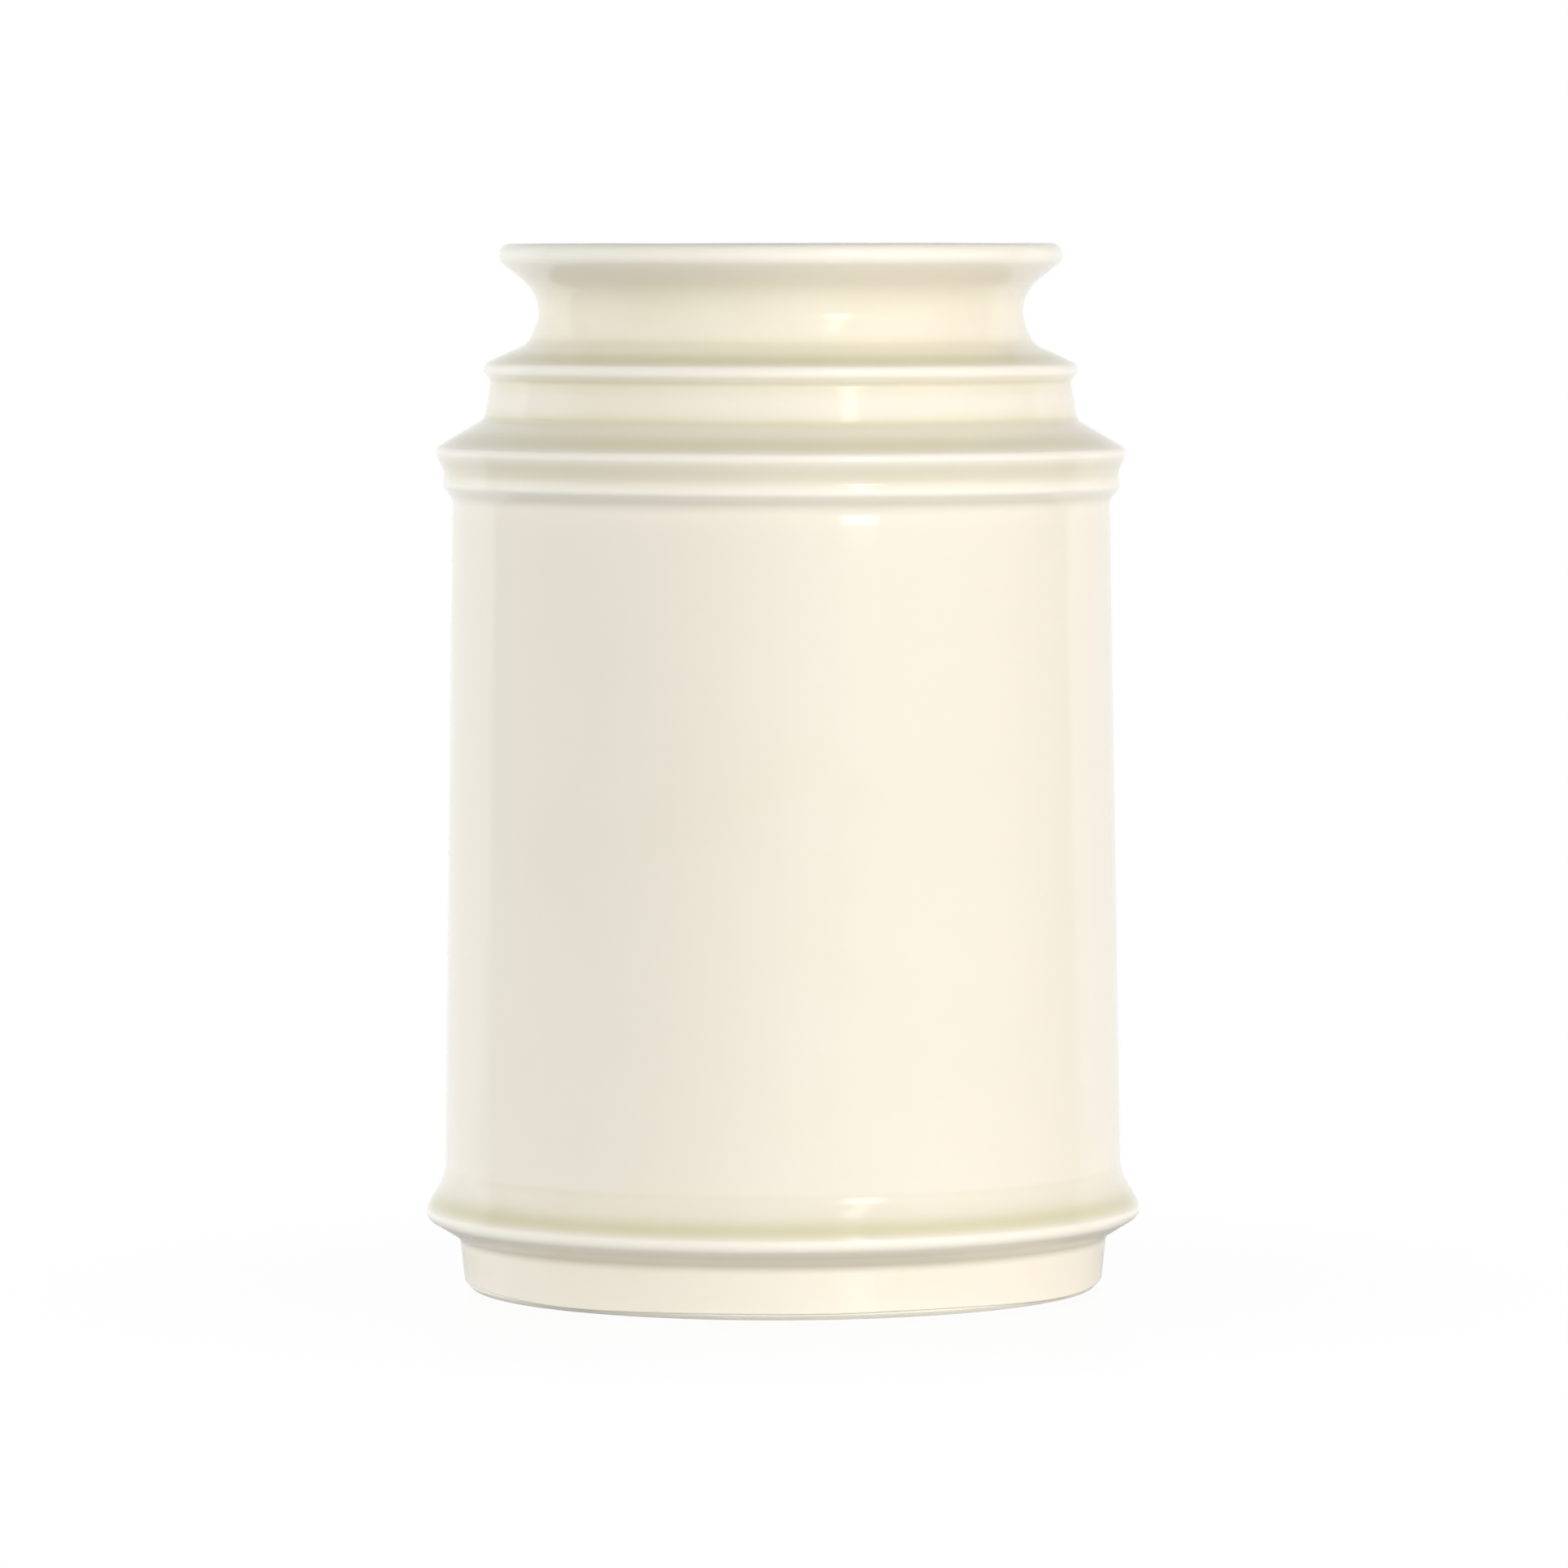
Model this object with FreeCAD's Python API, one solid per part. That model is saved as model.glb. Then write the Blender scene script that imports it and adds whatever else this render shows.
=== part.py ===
# Utensil holder: a tall round crock of cream-glazed stoneware, turned to one profile about the Z axis.
# From the table up it has a drawn-in foot, a base ring with a flare above it, a long wall that widens a
# little downwards, a bead, a shoulder ring, a collar ring and a rolled rim, with hollows between the rings.
# It is made as a potter makes it: a clay body turned in straight cuts, a glaze coat that fills and rounds
# the cuts and stops short of the bare foot ring, and a separate pool of glaze in the recess under the base.
# Lengths are in millimetres. The origin is the middle of the foot ring, on the table.

import FreeCAD
import Part

import math
import os
from collections import namedtuple

# Glaze on the clay: its even depth, and how much of that a corner of the clay may stand off the even depth.
GLAZE = 0.5
CUT_SHARE = 0.5

# The finished wall and floor.
WALL_THICKNESS = 5.8
FLOOR_THICKNESS = 7.0
FLOOR_CORNER_ROUND = 9.0

# The foot ring: its bare lower edge is bevelled, and inside it the base is cut away.
FOOT_RING_WIDTH = 6.5
FOOT_BEVEL = 0.8
RECESS_DEPTH = 2.5

# Radial sizes of the finished surface. The wall's top is the reference and each moulding steps on from it.
WALL_TOP_DIAMETER = 115.9
WALL_FLARE = 1.75
BASE_RING_PROJECTION = 3.35
FOOT_SETBACK = 6.05
FOOT_TAPER = 0.7
QUIRK_DEPTH = 0.12
BEAD_PROJECTION = 1.7
FASCIA_DEPTH = 0.3
SHOULDER_PROJECTION = 1.15
SHOULDER_COVE_STEP = 8.75
COLLAR_COVE_STEP = 0.95
COLLAR_PROJECTION = 1.2
NECK_COVE_STEP = 8.45
NECK_STEP = 1.15
RIM_OVERHANG = 6.9

# Rises of the finished surface, each from the middle of one moulding to the middle of the next above it.
FOOT_COVE_LEVEL = 7.2
BASE_RING_RISE = 6.5
FLARE_RISE = 8.6
WALL_RISE = 113.75
QUIRK_RISE = 2.3
BEAD_RISE = 3.45
FASCIA_RISE = 1.5
SHOULDER_RISE = 4.0
SHOULDER_COVE_RISE = 6.9
COLLAR_COVE_RISE = 5.4
COLLAR_RISE = 2.4
NECK_COVE_RISE = 6.5
NECK_RISE = 3.5
RIM_RISE = 9.95

# Rounded edges of the finished surface.
BASE_RING_ROUND = 1.8
BEAD_ROUND = 1.0
SHOULDER_ROUND = 1.2
COLLAR_ROUND = 1.25
RIM_ROUND = 2.05

# A hollow's radius is a share of the widest one that still meets the edges beside it.
FOOT_COVE_SHARE = 0.5
FLARE_SHARE = 0.75
QUIRK_SHARE = 0.85
FASCIA_SHARE = 0.8
SHOULDER_COVE_SHARE = 0.3
COLLAR_COVE_SHARE = 0.63
NECK_COVE_SHARE = 0.51
NECK_SHARE = 0.83
THROAT_SHARE = 0.97
SHOULDER_CORNER_SHARE = 0.25

# A bend of the profile: the centre of its arc, and its radius, which is positive on a rounded edge,
# negative in a hollow, and zero at a plain point.
Bend = namedtuple("Bend", "r z radius")


def outer_edge(reach, level, radius):
    """A rounded edge on the outside, whose outermost point is `reach` from the axis."""
    return Bend(reach - radius, level, radius)


def outer_hollow(waist, level, radius):
    """A hollow on the outside, whose innermost point is `waist` from the axis."""
    return Bend(waist + radius, level, -radius)


def inner_edge(reach, level, radius):
    """A rounded edge on the inside, whose innermost point is `reach` from the axis."""
    return Bend(reach + radius, level, radius)


def inner_hollow(waist, level, radius):
    """A hollow on the inside, whose outermost point is `waist` from the axis."""
    return Bend(waist - radius, level, -radius)


def widest(step, rise):
    """Radius of the arc that leaves a point upright and passes another, `step` across and `rise` above."""
    return (rise ** 2 + step ** 2) / (2 * step)


def finished_bends():
    """Bends of the glazed surface, from the bare foot up the outside, over the rim and down to the floor."""
    wall_top = WALL_TOP_DIAMETER / 2
    wall_foot = wall_top + WALL_FLARE
    base_ring = wall_foot + BASE_RING_PROJECTION
    foot_cove = base_ring - FOOT_SETBACK
    foot = foot_cove - FOOT_TAPER
    quirk = wall_top - QUIRK_DEPTH
    bead = wall_top + BEAD_PROJECTION
    fascia = bead - FASCIA_DEPTH
    shoulder = bead + SHOULDER_PROJECTION
    shoulder_cove = shoulder - SHOULDER_COVE_STEP
    collar_cove = shoulder_cove - COLLAR_COVE_STEP
    collar = collar_cove + COLLAR_PROJECTION
    neck_cove = collar - NECK_COVE_STEP
    neck = neck_cove - NECK_STEP
    rim = neck + RIM_OVERHANG
    throat = neck - WALL_THICKNESS
    lining_top = wall_top - WALL_THICKNESS
    lining_foot = wall_foot - WALL_THICKNESS

    base_ring_level = FOOT_COVE_LEVEL + BASE_RING_RISE
    flare_level = base_ring_level + FLARE_RISE
    wall_top_level = flare_level + WALL_RISE
    quirk_level = wall_top_level + QUIRK_RISE
    bead_level = quirk_level + BEAD_RISE
    fascia_level = bead_level + FASCIA_RISE
    shoulder_level = fascia_level + SHOULDER_RISE
    shoulder_cove_level = shoulder_level + SHOULDER_COVE_RISE
    collar_cove_level = shoulder_cove_level + COLLAR_COVE_RISE
    collar_level = collar_cove_level + COLLAR_RISE
    neck_cove_level = collar_level + NECK_COVE_RISE
    neck_level = neck_cove_level + NECK_RISE
    rim_level = neck_level + RIM_RISE
    floor_level = RECESS_DEPTH + FLOOR_THICKNESS

    foot_cove_radius = FOOT_COVE_SHARE * (widest(FOOT_SETBACK, BASE_RING_RISE) - BASE_RING_ROUND)
    flare_radius = FLARE_SHARE * (widest(BASE_RING_PROJECTION, FLARE_RISE) - BASE_RING_ROUND)
    quirk_radius = QUIRK_SHARE * (widest(QUIRK_DEPTH + BEAD_PROJECTION, BEAD_RISE) - BEAD_ROUND)
    fascia_radius = FASCIA_SHARE * min(
        widest(FASCIA_DEPTH, FASCIA_RISE) - BEAD_ROUND,
        widest(FASCIA_DEPTH + SHOULDER_PROJECTION, SHOULDER_RISE) - SHOULDER_ROUND,
    )
    shoulder_cove_radius = SHOULDER_COVE_SHARE * (
        widest(SHOULDER_COVE_STEP, SHOULDER_COVE_RISE) - SHOULDER_ROUND
    )
    collar_cove_radius = COLLAR_COVE_SHARE * (widest(COLLAR_PROJECTION, COLLAR_RISE) - COLLAR_ROUND)
    neck_cove_radius = NECK_COVE_SHARE * (widest(NECK_COVE_STEP, NECK_COVE_RISE) - COLLAR_ROUND)
    neck_radius = NECK_SHARE * min(
        widest(NECK_STEP, NECK_RISE) + neck_cove_radius,
        widest(RIM_OVERHANG, RIM_RISE) - RIM_ROUND,
    )
    lip_step = rim - 2 * RIM_ROUND - throat
    throat_radius = THROAT_SHARE * (widest(lip_step, RIM_RISE) + RIM_ROUND)
    shoulder_corner_radius = SHOULDER_CORNER_SHARE * (
        widest(lining_top - throat, neck_level - bead_level) - throat_radius
    )

    return [
        Bend(foot, FOOT_BEVEL, 0),
        outer_hollow(foot_cove, FOOT_COVE_LEVEL, foot_cove_radius),
        outer_edge(base_ring, base_ring_level, BASE_RING_ROUND),
        outer_hollow(wall_foot, flare_level, flare_radius),
        Bend(wall_top, wall_top_level, 0),
        outer_hollow(quirk, quirk_level, quirk_radius),
        outer_edge(bead, bead_level, BEAD_ROUND),
        outer_hollow(fascia, fascia_level, fascia_radius),
        outer_edge(shoulder, shoulder_level, SHOULDER_ROUND),
        outer_hollow(shoulder_cove, shoulder_cove_level, shoulder_cove_radius),
        outer_hollow(collar_cove, collar_cove_level, collar_cove_radius),
        outer_edge(collar, collar_level, COLLAR_ROUND),
        outer_hollow(neck_cove, neck_cove_level, neck_cove_radius),
        outer_hollow(neck, neck_level, neck_radius),
        outer_edge(rim, rim_level, RIM_ROUND),
        inner_edge(throat, neck_level, throat_radius),
        inner_hollow(lining_top, bead_level, shoulder_corner_radius),
        inner_hollow(lining_foot, floor_level + FLOOR_CORNER_ROUND, FLOOR_CORNER_ROUND),
        Bend(0, floor_level, 0),
    ]


def run_headings(bends):
    """Headings, from the outward direction, of the straight runs that touch each bend and the next."""
    headings = []
    for start, end in zip(bends, bends[1:]):
        across = end.r - start.r
        rise = end.z - start.z
        lean = math.asin((start.radius - end.radius) / math.hypot(across, rise))
        headings.append(math.atan2(rise, across) + lean)
    return headings


def bend_turns(headings):
    """Each bend's arriving heading and its turn, positive over an edge; the two ends have no turn."""
    arriving = headings[:1] + headings
    leaving = headings + headings[-1:]
    return [(a, math.remainder(b - a, 2 * math.pi)) for a, b in zip(arriving, leaving)]


def beside(bend, heading, distance):
    """The point at a distance from a bend's centre, on the side that faces out of the pot on this heading."""
    return FreeCAD.Vector(bend.r + distance * math.sin(heading), 0, bend.z - distance * math.cos(heading))


def finished_edges(bends):
    """The glazed surface, like a string pulled round the bends: straight runs joined by arcs."""
    edges = []
    reached = None
    for bend, (heading, turn) in zip(bends, bend_turns(run_headings(bends))):
        arrival = beside(bend, heading, bend.radius)
        if reached:
            edges.append(Part.LineSegment(reached, arrival).toShape())
        reached = beside(bend, heading + turn, bend.radius)
        if bend.radius:
            middle = beside(bend, heading + turn / 2, bend.radius)
            edges.append(Part.Arc(arrival, middle, reached).toShape())
    return edges


def cut_corners(bends):
    """Corners of the clay under the glaze: each run is one straight cut, and each bend has as many more as
    keep their corners near the glaze's even depth."""
    corners = []
    for bend, (heading, turn) in zip(bends, bend_turns(run_headings(bends))):
        clay_radius = bend.radius - GLAZE
        largest_turn = 2 * math.acos(abs(clay_radius) / (abs(clay_radius) + CUT_SHARE * GLAZE))
        count = max(1, math.ceil(abs(turn) / largest_turn))
        half_turn = turn / count / 2
        for corner in range(count):
            corner_heading = heading + half_turn * (2 * corner + 1)
            corners.append(beside(bend, corner_heading, clay_radius / math.cos(half_turn)))
    return corners


def turned(edges):
    """The solid that a closed outline sweeps in one turn about the axis."""
    face = Part.Face(Part.Wire(edges))
    return face.revolve(FreeCAD.Vector(0, 0, 0), FreeCAD.Vector(0, 0, 1), 360)


def clay_body(corners):
    """The fired clay: the recess, the foot ring's flat tread and bevel, then round to the floor."""
    foot = corners[0].x
    tread = foot - FOOT_BEVEL
    recess = foot - FOOT_RING_WIDTH
    ceiling = RECESS_DEPTH + GLAZE
    outline = [
        FreeCAD.Vector(0, 0, ceiling),
        FreeCAD.Vector(recess, 0, ceiling),
        FreeCAD.Vector(recess, 0, 0),
        FreeCAD.Vector(tread, 0, 0),
    ] + corners
    return turned(Part.makePolygon(outline + outline[:1]).Edges)


def glaze_coat(bends, corners):
    """The coat between the glazed surface and the clay, cut square at the foot and closed on the axis."""
    surface = finished_edges(bends)
    surface_start = surface[0].Vertexes[0].Point
    surface_end = surface[-1].Vertexes[-1].Point
    clay_side = Part.makePolygon([surface_end] + corners[::-1] + [surface_start])
    return turned(surface + clay_side.Edges)


def base_glaze(corners):
    """The pool of glaze on the recess's ceiling, out to the foot ring."""
    return Part.makeCylinder(corners[0].x - FOOT_RING_WIDTH, GLAZE, FreeCAD.Vector(0, 0, RECESS_DEPTH))


def main():
    bends = finished_bends()
    corners = cut_corners(bends)
    parts = {
        "clay_body": clay_body(corners),
        "glaze_coat": glaze_coat(bends, corners),
        "base_glaze": base_glaze(corners),
    }
    os.makedirs("parts", exist_ok=True)
    for name, shape in parts.items():
        shape.exportStep(f"parts/{name}.step")
        box = shape.optimalBoundingBox(False)
        print(f"{name}: {box.XLength:.2f} x {box.YLength:.2f} x {box.ZLength:.2f} mm,", end=" ")
        print(f"z {box.ZMin:.2f} to {box.ZMax:.2f}, {shape.Volume / 1000:.1f} ml, valid {shape.isValid()}")


main()
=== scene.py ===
import math

import bpy
import numpy as np
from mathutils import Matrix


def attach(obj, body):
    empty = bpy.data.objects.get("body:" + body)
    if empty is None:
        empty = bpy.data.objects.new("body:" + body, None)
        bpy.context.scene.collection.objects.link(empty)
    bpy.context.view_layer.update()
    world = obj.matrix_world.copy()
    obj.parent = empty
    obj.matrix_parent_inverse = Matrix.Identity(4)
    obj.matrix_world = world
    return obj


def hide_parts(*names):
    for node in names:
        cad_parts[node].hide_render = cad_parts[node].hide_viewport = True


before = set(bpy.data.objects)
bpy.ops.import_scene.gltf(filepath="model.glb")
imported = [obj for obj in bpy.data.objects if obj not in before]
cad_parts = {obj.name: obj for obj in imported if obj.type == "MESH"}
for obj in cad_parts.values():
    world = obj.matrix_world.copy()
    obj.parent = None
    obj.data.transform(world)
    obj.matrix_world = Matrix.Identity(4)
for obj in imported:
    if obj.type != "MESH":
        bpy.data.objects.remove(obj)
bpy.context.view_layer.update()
print("frame:", ", ".join(sorted(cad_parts)))

mm = 0.001

# how finely the lines are divided: degrees of a bend between points, and the longest gap on a short run
fineness = {
    "seen": (6.5, 1.0),          # the glazed surface
    "covered": (15.0, 8.0),      # the clay, and the side of the coat that lies on it
    "underneath": (10.0, 8.0),   # the glaze in the recess
    "longRun": 30.0,             # a run over this length
    "longGap": 6.0,              # has gaps of up to this much
    "around": 200,               # points round the axis
}

# what making and firing leave: a round that is a little off true, and levels that slope
making = {
    "offRound": [                # share of the reach, times round, phase
        (0.0011, 2, -1.1),
        (0.0005, 3, 0.6),
    ],
    "slopes": [                  # level, and its climb per millimetre to the right
        (0, 0),
        (14, 0.0015),            # base ring
        (60, 0),
        (134, -0.004),           # top of the wall
        (147, -0.004),           # shoulder ring
        (162, -0.0035),          # collar ring
        (182, -0.0015),          # rim
    ],
}


def centred(bends, side):
    # a bend's centre is at its reach less its round on the outside of the pot, where the side is 1,
    # and at its reach plus its round on the inside, where the side is -1
    centres = np.array(list(bends.values()))
    centres[:, 0] -= side * centres[:, 2]
    return centres


def spread(counts, steps):
    # for counts such as 3, 2: the owners 0 0 0 1 1, and each one's place as a share of its owner's steps
    which = np.repeat(np.arange(len(counts)), counts)
    place = np.arange(len(which)) - np.repeat(np.cumsum(counts) - counts, counts)
    return which, place / np.maximum(steps, 1)[which]


def pulledLine(bends, division):
    # a string pulled round the bends: each run between two bends heads at
    # atan2(rise, across) + asin((round - next round) / distance between their centres),
    # and a point on a bend is its centre + round * (sin heading, -cos heading)
    arcStep, runStep = division
    r, z, bendRound = bends.T
    across, rise = np.diff(r), np.diff(z)
    lean = np.arcsin((bendRound[:-1] - bendRound[1:]) / np.hypot(across, rise))
    runs = np.unwrap(np.arctan2(rise, across) + lean)
    arrive = np.append(runs[0], runs)
    turn = np.append(runs, runs[-1]) - arrive
    counts = np.ceil(np.abs(turn) / math.radians(arcStep)).astype(int) + 1
    which, share = spread(counts, counts - 1)
    heading = arrive[which] + turn[which] * share
    bendRound = bendRound[which]
    line = np.column_stack([r[which] + bendRound * np.sin(heading), z[which] - bendRound * np.cos(heading)])
    # then every gap that is too long is split evenly
    gaps = np.hypot(*np.diff(line, axis=0).T)
    longest = np.where(gaps > fineness["longRun"], fineness["longGap"], runStep)
    counts = np.ceil(gaps / longest).astype(int)
    which, share = spread(counts, counts)
    return np.vstack([line[which] + share[:, None] * (line[which + 1] - line[which]), line[-1]])


def lineFacing(line):
    # the side of the line that faces out of the glaze: its direction turned a quarter to the right
    along = np.gradient(line, axis=0)
    along /= np.linalg.norm(along, axis=1)[:, None]
    return np.column_stack([along[:, 1], -along[:, 0]])


def settled(r, z, angle):
    # the turned point (r cos angle, r sin angle, z), where r is first multiplied by
    # 1 + the sum of share * cos(times * angle + phase), and z then climbs to the right by its level's slope
    r = r * (1 + sum(share * np.cos(times * angle + phase) for share, times, phase in making["offRound"]))
    x, y = r * np.cos(angle), r * np.sin(angle)
    levels, slopes = zip(*making["slopes"])
    return x, y, z + x * np.interp(z, levels, slopes)


def placed(name, data):
    made = bpy.data.objects.new(name, data)
    bpy.context.scene.collection.objects.link(made)
    return made


def turnedPiece(name, node, line, shift=None, depthAndPaintedLight=None):
    # a line from axis to axis, turned: rows along the line, columns round it, one point at each pole
    around = fineness["around"]
    angle = np.linspace(0, 2 * np.pi, around, endpoint=False)[None, :]
    r = np.repeat(line[1:-1, :1], around, axis=1)
    z = np.repeat(line[1:-1, 1:], around, axis=1)
    if shift:
        r, z = shift(r, z, angle)
    x, y, z = settled(r, z, angle)
    rows = len(line) - 2
    poles = np.array([[0, 0, line[0, 1]], [0, 0, line[-1, 1]]])
    points = np.vstack([np.column_stack([x.ravel(), y.ravel(), z.ravel()]), poles]) * mm
    first = np.arange(rows * around).reshape(rows, around)
    second = np.roll(first, -1, axis=1)
    quads = np.stack([first[:-1], second[:-1], second[1:], first[1:]], axis=-1).reshape(-1, 4)
    startFan = np.column_stack([np.full(around, rows * around), second[0], first[0]])
    endFan = np.column_stack([first[-1], second[-1], np.full(around, rows * around + 1)])
    mesh = bpy.data.meshes.new(name)
    mesh.from_pydata(points.tolist(), [], quads.tolist() + startFan.tolist() + endFan.tolist())
    mesh.polygons.foreach_set("use_smooth", np.ones(len(mesh.polygons), bool))
    if depthAndPaintedLight is not None:
        values = np.concatenate([np.repeat(depthAndPaintedLight[1:-1], around), depthAndPaintedLight[[0, -1]]]).astype(np.float32)
        mesh.attributes.new("poolAndPaintedLight", "FLOAT", "POINT").data.foreach_set("value", values)
    mesh.validate()
    mesh.update()
    piece = placed(name, mesh)
    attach(piece, "root")
    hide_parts(node)
    print(name, len(mesh.vertices), "points,", len(mesh.polygons), "faces")
    return piece


# the crock in its glaze, in millimetres: each bend's reach from the axis, level and round,
# which is plus on an edge, minus in a hollow and nothing at a plain point
crock = {
    "glaze": 0.5,                # thickness of the coat
    "glazeLine": (55.81, 0.95),  # where the coat ends on the clay
    "outside": {
        "glazeEnd": (56.34, 1.4, 0.4),           # rolled over the bare foot
        "footHollow": (57.0, 7.7, -2.3),
        "baseRing": (63.05, 13.7, 1.8),
        "flare": (59.7, 22.3, -8.2),
        "wallTop": (57.95, 136.05, 6.0),
        "quirk": (57.83, 138.0, -2.9),
        "bead": (59.65, 141.65, 1.05),
        "fascia": (59.35, 143.3, -2.3),
        "shoulderRing": (60.8, 147.3, 1.2),
        "columnFoot": (52.05, 154.2, -1.77),     # hollow over the shoulder
        "columnTop": (51.1, 159.6, -1.1),        # hollow under the collar ring
        "collarRing": (52.3, 161.9, 1.3),
        "neckFoot": (43.85, 168.5, -2.8),        # hollow over the collar ring
        "neck": (42.7, 172.0, -7.1),
        "rim": (49.6, 181.95, 2.05),
    },
    "inside": {
        "throat": (36.9, 172.0, 11.7),
        "underShoulder": (52.15, 141.8, -6.45),
        "floorCorner": (53.9, 18.5, -9.0),
        "floorMiddle": (0.0, 9.5, 0.0),
    },
    "poolBlur": 1.7,             # how far along the line the glaze levels itself
    "poolGain": 1.6,             # depth of colour for each millimetre that this fills
    "paintedLightAndPoolBands": [                   # bend, how far past its crest, how wide, and how deep, or pale if minus: pooled glaze on the ledges over the rings, and painted shade and painted light at the others
        ("baseRing", 2.6, 2.0, 1.0),
        # painted light: a pale band on the lower half of the base ring, where light from the table falls
        ("baseRing", -1.2, 1.3, -0.35),
        # painted shade: a deeper band on the underside of the base ring, where its shade falls
        ("baseRing", -3.6, 0.9, 0.3),
        ("shoulderRing", 4.0, 3.0, 0.8),
        # painted shade: a deeper band in the fascia under the shoulder ring, where its shade falls
        ("shoulderRing", -2.1, 1.1, 0.5),
        ("collarRing", 3.7, 2.7, 1.0),
        # painted light: the foot hollow and the quirk under the bead are kept plain cream, without pooled
        # colour, so their shade reads lighter
        ("footHollow", 0.0, 2.0, 0.0),
        ("quirk", 0.5, 2.2, 0.0),
    ],
    "waveDepth": 0.03,
    "waves": [                   # share, times round, millimetres of climb for each radian, phase
        (0.5, 5, 9.0, 0.0),
        (0.3, 9, -5.5, 1.3),
        (0.2, 14, 3.7, 2.1),
    ],
    "calmReach": 20.0,           # within this reach of the axis the waves die down
    "wanderDepth": 0.2,          # of the glaze line on the foot
    "wander": [                  # share, times round, phase
        (1.0, 4, 0.7),
        (0.6, 7, 2.2),
    ],
    "wanderLevels": (2.5, 6.5),  # whole up to the first, gone at the second
}
glazedBends = np.vstack([centred(crock["outside"], 1), centred(crock["inside"], -1)])
clayBends = glazedBends[1:] - np.array([0, 0, crock["glaze"]])  # the same bends in the clay, under the glaze


def pooled(line, blur):
    # how far the line's own blurred copy stands off it on the facing side: plus in a hollow, minus on an edge
    step = np.hypot(*np.gradient(line, axis=0).T)
    length = np.cumsum(step)
    weight = np.exp(-0.5 * ((length[:, None] - length[None, :]) / blur) ** 2) * step
    blurred = weight @ line / weight.sum(axis=1)[:, None]
    return np.sum((blurred - line) * lineFacing(line), axis=1)


def glazeDepthAndPaintedLight(line):
    # deep in hollows and pale on edges, then blended into each band's depth by exp(-(distance / width)^2);
    # the bands carry painted shade and painted light as well as pooled glaze
    length = np.append(0, np.cumsum(np.hypot(*np.diff(line, axis=0).T)))
    depthAndPaintedLight = crock["poolGain"] * pooled(line, crock["poolBlur"])
    for bend, past, wide, amount in crock["paintedLightAndPoolBands"]:
        reach, level = crock["outside"][bend][:2]
        crest = length[np.argmin(np.hypot(line[:, 0] - reach, line[:, 1] - level))]
        hump = np.exp(-((length - crest - past) / wide) ** 2)
        depthAndPaintedLight = depthAndPaintedLight * (1 - hump) + amount * hump
    return depthAndPaintedLight


def glazeCoat():
    # from the middle of the floor along the covered side to the glaze line, and back on the glazed side
    lineEnd = np.array([[*crock["glazeLine"], 0]])
    outerLine = pulledLine(np.vstack([lineEnd, glazedBends]), fineness["seen"])
    underLine = pulledLine(np.vstack([lineEnd, clayBends]), fineness["covered"])
    underCount = len(underLine) - 1
    facing = np.vstack([np.zeros((underCount, 2)), lineFacing(outerLine)])[1:-1, None, :]
    depthAndPaintedLight = np.concatenate([np.zeros(underCount), glazeDepthAndPaintedLight(outerLine)])

    def waved(r, z, angle):
        # along the facing, the sum of share * sin(times * angle + level / climb + phase);
        # near the foot the level also rises and falls, by the sum of share * sin(times * angle + phase)
        wave = sum(share * np.sin(times * angle + z / climb + phase)
                   for share, times, climb, phase in crock["waves"])
        wave = wave * crock["waveDepth"] * np.clip(r / crock["calmReach"], 0, 1)
        whole, gone = crock["wanderLevels"]
        fade = np.clip((gone - z) / (gone - whole), 0, 1)
        fade = fade * fade * (3 - 2 * fade)  # eased at both ends
        wander = sum(share * np.sin(times * angle + phase) for share, times, phase in crock["wander"])
        wander = wander * crock["wanderDepth"] * fade
        return r + wave * facing[..., 0], z + wave * facing[..., 1] + wander

    coatLine = np.vstack([underLine[:0:-1], outerLine])
    return turnedPiece("glazeCoat", "glaze_coat", coatLine, waved, depthAndPaintedLight)


# the bare foot of the clay, in the same terms
foot = {
    "inside": {
        "recessMiddle": (0.0, 3.0, 0.0),
        "recessCorner": (49.3, 2.2, -0.8),
        "treadInner": (49.3, 0.5, 0.5),
    },
    "outside": {
        "treadOuter": (55.2, 0.4, 0.4),
        "bevelTop": (*crock["glazeLine"], 0.3),  # the coat ends here
    },
}


def clayBody():
    # from the middle of the recess over the foot ring, then under the coat to the middle of the floor
    bends = np.vstack([centred(foot["inside"], -1), centred(foot["outside"], 1), clayBends])
    return turnedPiece("clayBody", "clay_body", pulledLine(bends, fineness["covered"]))


# the glaze that pooled in the recess, drawn down at its edge: the centre and round of each bend
pond = {
    "openMiddle": (0.0, 2.5, 0.0),
    "drawnDown": (47.4, 0.9, -1.6),
    "edge": (49.16, 1.7, 0.12),  # on the foot ring
    "corner": (48.6, 2.29, 0.7),
    "clayMiddle": (0.0, 2.99, 0.0),
}


def baseGlaze():
    # out along the pool's open face, round its edge and back along the clay
    line = pulledLine(np.array(list(pond.values())), fineness["underneath"])
    return turnedPiece("baseGlaze", "base_glaze", line)


coat = glazeCoat()
clay = clayBody()
base = baseGlaze()


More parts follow.
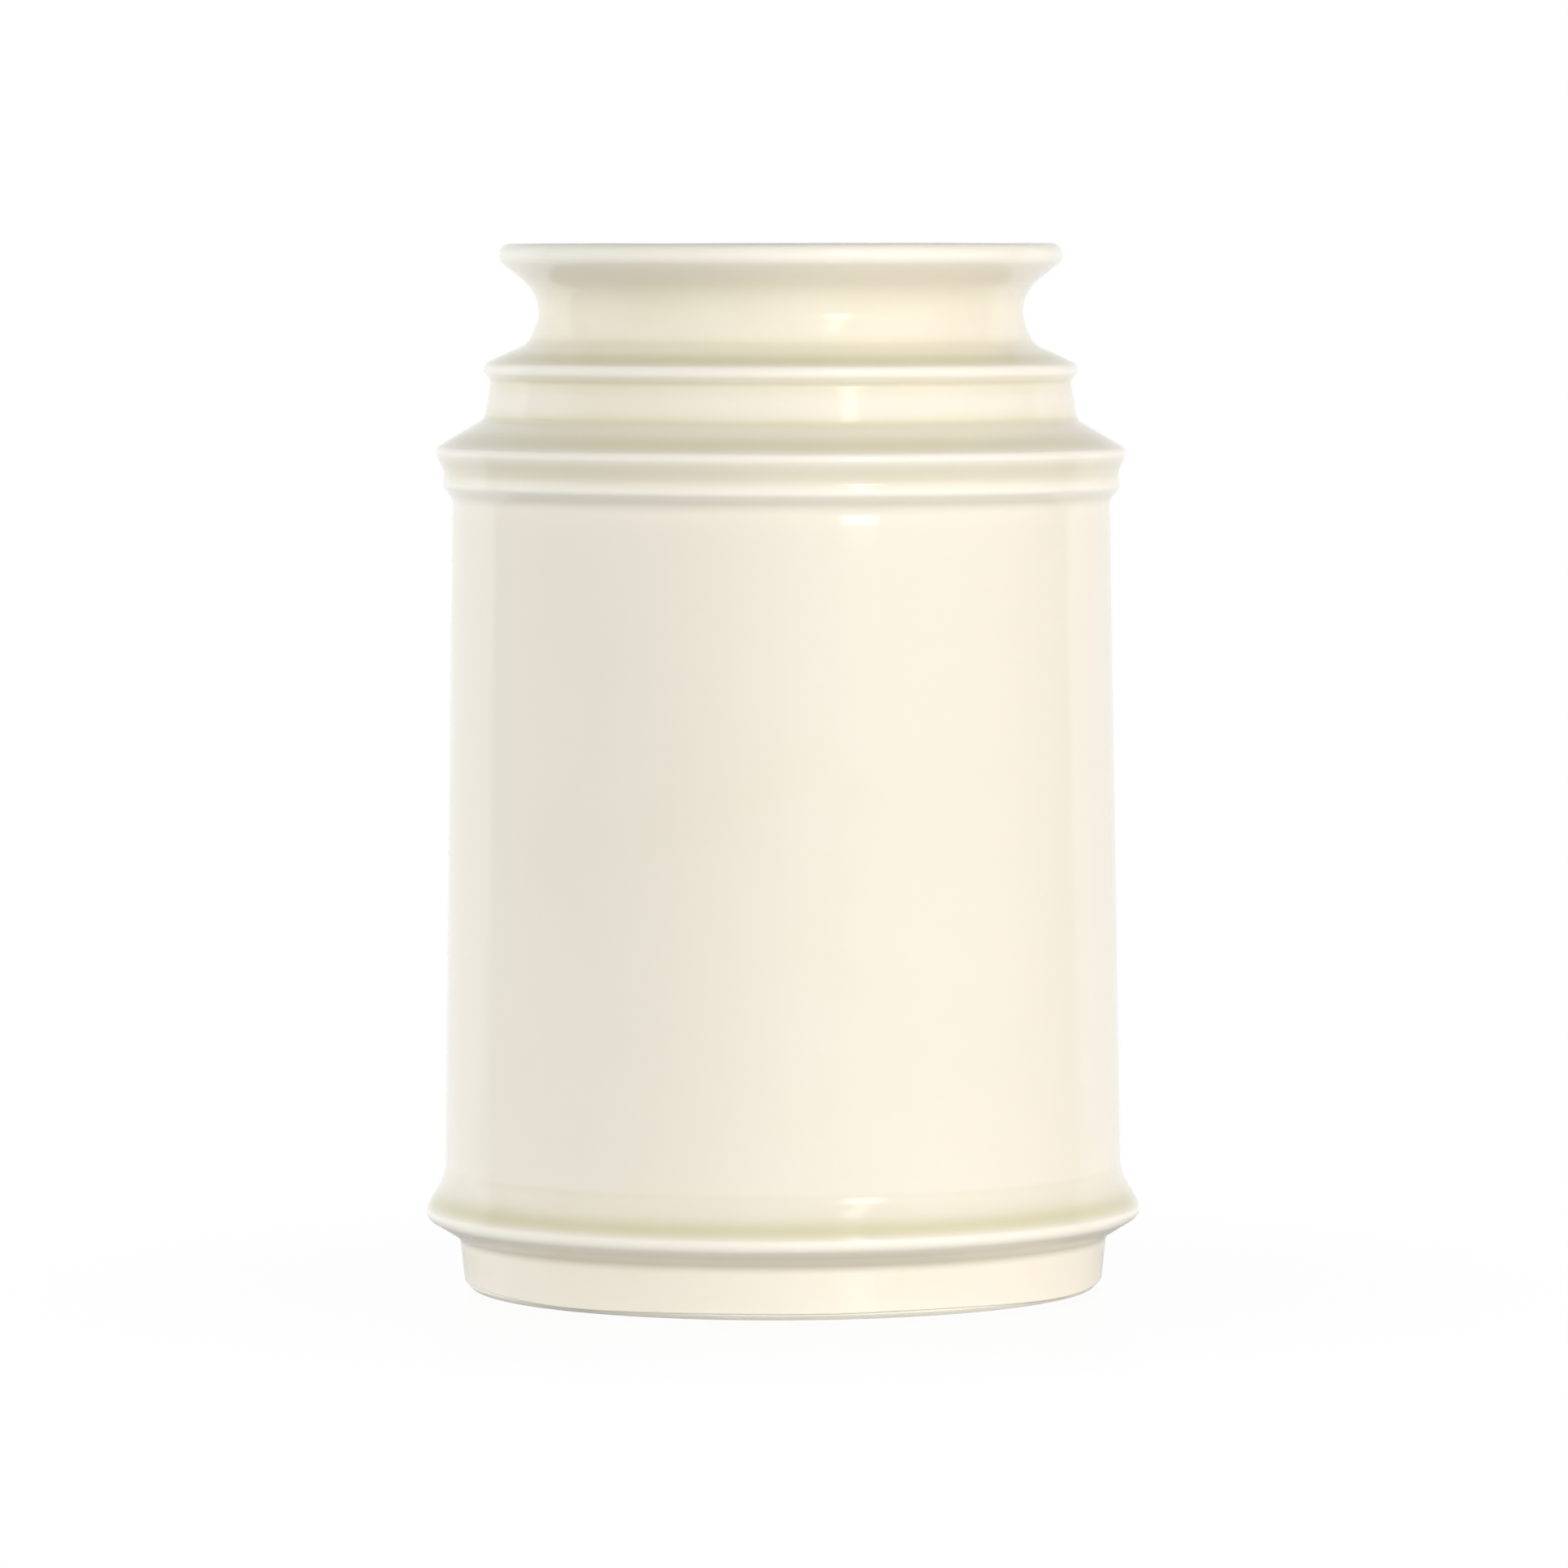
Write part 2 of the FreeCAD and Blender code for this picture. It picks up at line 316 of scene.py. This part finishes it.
class Wire:
    # one output of a node tree; sums, products and the like of wires add Math nodes
    def __init__(self, tree, socket=None):
        self.tree = tree
        self.socket = socket

    def node(self, kind, settings, inputs, output=0):
        made = self.tree.nodes.new(kind)
        for key, value in settings.items():
            setattr(made, key, value)
        for key, value in inputs.items():
            if isinstance(value, Wire):
                self.tree.links.new(value.socket, made.inputs[key])
            else:
                made.inputs[key].default_value = value
        return Wire(self.tree, made.outputs[output])

    def math(self, operation, a, b):
        return self.node("ShaderNodeMath", {"operation": operation}, {0: a, 1: b})

    def __add__(self, other):
        return self.math("ADD", self, other)

    def __sub__(self, other):
        return self.math("SUBTRACT", self, other)

    def __rsub__(self, other):
        return self.math("SUBTRACT", other, self)

    def __mul__(self, other):
        return self.math("MULTIPLY", self, other)

    def __truediv__(self, other):
        return self.math("DIVIDE", self, other)

    __radd__ = __add__
    __rmul__ = __mul__

    def held(self):
        # no less than 0 and no more than 1
        return self.math("MINIMUM", self.math("MAXIMUM", self, 0.0), 1.0)

    def ramp(self, start, end):
        # 0 up to the start, 1 from the end on
        return ((self - start) / (end - start)).held()

    def mixed(self, a, b):
        # colour a where the wire is 0, colour b where it is 1; 6, 7 and 2 are the Mix node's colour sockets
        return self.node("ShaderNodeMix", {"data_type": "RGBA"}, {0: self, 6: a, 7: b}, 2)

    def axis(self, letter):
        return self.node("ShaderNodeSeparateXYZ", {}, {0: self}, letter)

    def noise(self, scale, detail):
        return self.node("ShaderNodeTexNoise", {}, {"Vector": self, "Scale": scale, "Detail": detail}, "Fac")

    def bump(self, strength, distance):
        inputs = {"Strength": strength, "Distance": distance, "Height": self}
        return self.node("ShaderNodeBump", {}, inputs, "Normal")

    def ray(self, kind):
        # 1 where a ray of this kind looks at the surface, and 0 elsewhere
        return self.node("ShaderNodeLightPath", {}, {}, f"Is {kind} Ray")

    def into(self, outputKind):
        end = self.tree.nodes.new(outputKind)
        self.tree.links.new(self.socket, end.inputs["Surface"])


def freshNodes(holder):
    holder.use_nodes = True
    holder.node_tree.nodes.clear()
    return Wire(holder.node_tree)


# the glaze: cream, deeper where it is thick and paler where it is thin, with painted shade and painted light
# where the bands put it
glazeLook = {
    "cream": (0.900, 0.840, 0.733, 1),
    "paleAndLit": (0.955, 0.910, 0.815, 1),
    "deepAndShade": (0.715, 0.670, 0.470, 1),
    "paleGain": -2.8,            # how soon thin glaze, and the band of painted light, turns pale
    "cloud": (45.0, 3.0),        # scale and detail
    "deepCloud": 0.35,           # how far the clouds shift the deep colour
    "paleCloud": 0.2,            # and the pale one
    "fine": (420.0, 2.0),
    "roughness": 0.11,
    "fineRoughness": 0.03,       # how far the fine unevenness shifts it
    "fineBump": (0.25, 0.00003),  # strength and height in metres
    "ior": 1.5,
}


def creamGlaze():
    material = bpy.data.materials.new("creamGlaze")
    wire = freshNodes(material)
    place = wire.node("ShaderNodeTexCoord", {}, {}, "Object")
    depthAndPaintedLight = wire.node("ShaderNodeAttribute", {"attribute_name": "poolAndPaintedLight"}, {}, "Fac")
    cloud = place.noise(*glazeLook["cloud"])  # noise swings about 0.5
    fine = place.noise(*glazeLook["fine"])
    thickAndShaded = (depthAndPaintedLight + (cloud - 0.5) * glazeLook["deepCloud"]).held()
    thinAndLit = (depthAndPaintedLight * glazeLook["paleGain"] + (cloud - 0.5) * glazeLook["paleCloud"]).held()
    colour = thickAndShaded.mixed(glazeLook["cream"], glazeLook["deepAndShade"])
    shader = wire.node("ShaderNodeBsdfPrincipled", {}, {
        "Base Color": thinAndLit.mixed(colour, glazeLook["paleAndLit"]),
        "Roughness": (fine - 0.5) * glazeLook["fineRoughness"] + glazeLook["roughness"],
        "IOR": glazeLook["ior"],
        "Normal": fine.bump(*glazeLook["fineBump"]),
    }, "BSDF")
    shader.into("ShaderNodeOutputMaterial")
    return material


# the bare clay of the foot ring
clayLook = {
    "buff": (0.86, 0.82, 0.72, 1),
    "white": (0.93, 0.91, 0.84, 1),
    "cloud": (90.0, 4.0),        # scale and detail
    "grain": (1500.0, 3.0),
    "grainBump": (0.6, 0.0001),
    "roughness": 0.9,
}


def bareClay():
    material = bpy.data.materials.new("bareClay")
    wire = freshNodes(material)
    place = wire.node("ShaderNodeTexCoord", {}, {}, "Object")
    shader = wire.node("ShaderNodeBsdfPrincipled", {}, {
        "Base Color": place.noise(*clayLook["cloud"]).mixed(clayLook["buff"], clayLook["white"]),
        "Roughness": clayLook["roughness"],
        "Normal": place.noise(*clayLook["grain"]).bump(*clayLook["grainBump"]),
    }, "BSDF")
    shader.into("ShaderNodeOutputMaterial")
    return material


glazeMaterial = creamGlaze()
for piece in (coat, base):
    piece.data.materials.append(glazeMaterial)
clay.data.materials.append(bareClay())
print("materials on")

# the studio, in metres and watts: low panels that light the room, small lamps that only show as glints,
# a lamp over the mouth, and what the glaze mirrors
studio = {
    "ambient": 0.08,             # what the room throws on everything
    "ambientTint": (0.96, 1.0, 1.03, 1),
    "ceiling": 0.5,              # how bright the ceiling looks in the glaze, as a share of the walls
    "sides": 0.25,               # how bright the room's sides and front look in it, as a share of the sweep
    "sweep": (0.46, 0.50),       # the sweep behind sets in where this share of a direction points back
    "aim": (0, 0, 0.09),         # what the panels and glints face
    "panelFar": 1.5,
    "panelRise": 12.0,
    "panelSize": (1.0, 0.35),
    "panels": [                  # turn from the camera, power and tint
        ("backLeftPanel", -110, 12.0, (0.97, 1, 1.01)),
        ("frontLeftPanel", -40, 9.9, (0.98, 1, 1)),
        ("keyPanel", 27, 8.5, (1, 0.98, 0.94)),
        ("rightPanel", 60, 11.0, (1, 0.98, 0.95)),
        ("backRightPanel", 100, 2.9, (1, 0.99, 0.97)),
        ("backPanel", 180, 9.0, (1, 1, 1)),
    ],
    "glintFar": 1.2,
    "glintTint": (1, 0.98, 0.94),
    "glints": [                  # turn from the camera, rise, size and power
        ("softbox", 27, 10, (0.25, 0.25), 1.1),
        ("stripLamp", 27, 30, (0.12, 0.65), 0.75),
    ],
    "well": {                    # the lamp over the mouth, with a cone that lights the inside only
        "high": 1.2,
        "cone": 3.4,
        "blend": 0.4,
        "power": 140.0,
    },
}


def flatLamp(name, turn, rise, far, size, power, tint):
    # at a turn to the right of the camera and a rise above the level, facing the aim
    data = bpy.data.lights.new(name, "AREA")
    data.shape = "RECTANGLE"
    data.size, data.size_y = size
    data.energy = power
    data.color = tint
    lamp = placed(name, data)
    turnBy, riseBy = math.radians(turn), math.radians(rise)
    level = math.cos(riseBy)
    towards = np.array([math.sin(turnBy) * level, -math.cos(turnBy) * level, math.sin(riseBy)])
    lamp.location = towards * far + np.array(studio["aim"])
    lamp.rotation_euler = (math.radians(90 - rise), 0, turnBy)
    return lamp


def studioLamps():
    for name, turn, rise, size, power in studio["glints"]:
        glint = flatLamp(name, turn, rise, studio["glintFar"], size, power, studio["glintTint"])
        glint.visible_diffuse = False
    for name, turn, power, tint in studio["panels"]:
        panel = flatLamp(name, turn, studio["panelRise"], studio["panelFar"], studio["panelSize"],
                         power, tint)
        panel.visible_glossy = False
    well = studio["well"]
    data = bpy.data.lights.new("wellLamp", "SPOT")
    data.spot_size = math.radians(well["cone"])
    data.spot_blend = well["blend"]
    data.energy = well["power"]
    placed("wellLamp", data).location = (0, 0, well["high"])


def roomInGlaze(back):
    # the room as the glaze mirrors it: dim to the front and sides, white past the edge of the sweep behind
    return studio["sides"] + back.ramp(*studio["sweep"]) * (1.0 - studio["sides"])


def studioWorld():
    # plain white to the camera, the room to the glaze, and a dim even light to everything else
    world = bpy.data.worlds.new("studio")
    wire = freshNodes(world)
    heading = wire.node("ShaderNodeTexCoord", {}, {}, "Generated")
    direct = wire.ray("Camera")
    inGloss = wire.ray("Glossy")
    through = wire.ray("Transmission")
    upwards = 1.0 - heading.axis("Z").held() * (1.0 - studio["ceiling"])
    strength = (direct + through).held() + inGloss * roomInGlaze(heading.axis("Y")) * upwards
    backdrop = wire.node("ShaderNodeBackground", {}, {
        "Color": (1, 1, 1, 1),
        "Strength": strength,
    }, "Background")
    ambient = wire.node("ShaderNodeBackground", {}, {
        "Color": studio["ambientTint"],
        "Strength": studio["ambient"],
    }, "Background")
    seen = (direct + inGloss + through).held()
    light = wire.node("ShaderNodeMixShader", {}, {0: seen, 1: ambient, 2: backdrop}, "Shader")
    light.into("ShaderNodeOutputWorld")
    bpy.context.scene.world = world


# the table: to the lamps white near the crock and grey beyond, to the camera plain white with some shadow
table = {
    "half": 6.0,
    "white": (0.66, 0.66, 0.66, 1),
    "grey": (0.3, 0.3, 0.3, 1),
    "edge": (0.09, 0.22),        # from white to grey, out from the axis
    "roughness": 0.12,
    "shadow": 0.06,              # how much of the shadow the camera sees
    "shadowFade": (0.07, 0.16),  # whole within the first reach of the axis, gone beyond the second
}


def whiteTable():
    half = table["half"]
    mesh = bpy.data.meshes.new("table")
    corners = [(-half, -half, 0), (half, -half, 0), (half, half, 0), (-half, half, 0)]
    mesh.from_pydata(corners, [], [(0, 1, 2, 3)])
    floor = placed("table", mesh)
    material = bpy.data.materials.new("whiteTable")
    wire = freshNodes(material)
    place = wire.node("ShaderNodeTexCoord", {}, {}, "Object")
    apart = wire.node("ShaderNodeVectorMath", {"operation": "LENGTH"}, {0: place}, "Value")
    away = apart.ramp(*table["shadowFade"])
    direct = wire.ray("Camera") * (1.0 - table["shadow"] * (1.0 - away))
    inGloss = wire.ray("Glossy") * away * roomInGlaze(place.axis("Y") / apart)
    sheet = wire.node("ShaderNodeBsdfPrincipled", {}, {
        "Base Color": apart.ramp(*table["edge"]).mixed(table["white"], table["grey"]),
        "Roughness": table["roughness"],
    }, "BSDF")
    glow = wire.node("ShaderNodeEmission", {}, {"Color": (1, 1, 1, 1), "Strength": 1.0}, "Emission")
    shader = wire.node("ShaderNodeMixShader", {}, {0: (direct + inGloss).held(), 1: sheet, 2: glow}, "Shader")
    shader.into("ShaderNodeOutputMaterial")
    mesh.materials.append(material)


# the photograph's view: metres, degrees and millimetres of lens
view = {
    "place": (0.00064, -1.627, 0.1853),
    "down": 3.398,
    "roll": 0.15,
    "lens": 212.0,
    "sensor": 36.0,
}


def photoCamera():
    data = bpy.data.cameras.new("photoView")
    data.lens = view["lens"]
    data.sensor_width = view["sensor"]
    camera = placed("photoView", data)
    camera.location = view["place"]
    camera.rotation_euler = (math.radians(90 - view["down"]), math.radians(view["roll"]), 0)
    bpy.context.scene.camera = camera


studioLamps()
studioWorld()
whiteTable()
photoCamera()
bpy.context.scene.view_settings.view_transform = "Standard"
print("studio ready")

bpy.context.view_layer.update()
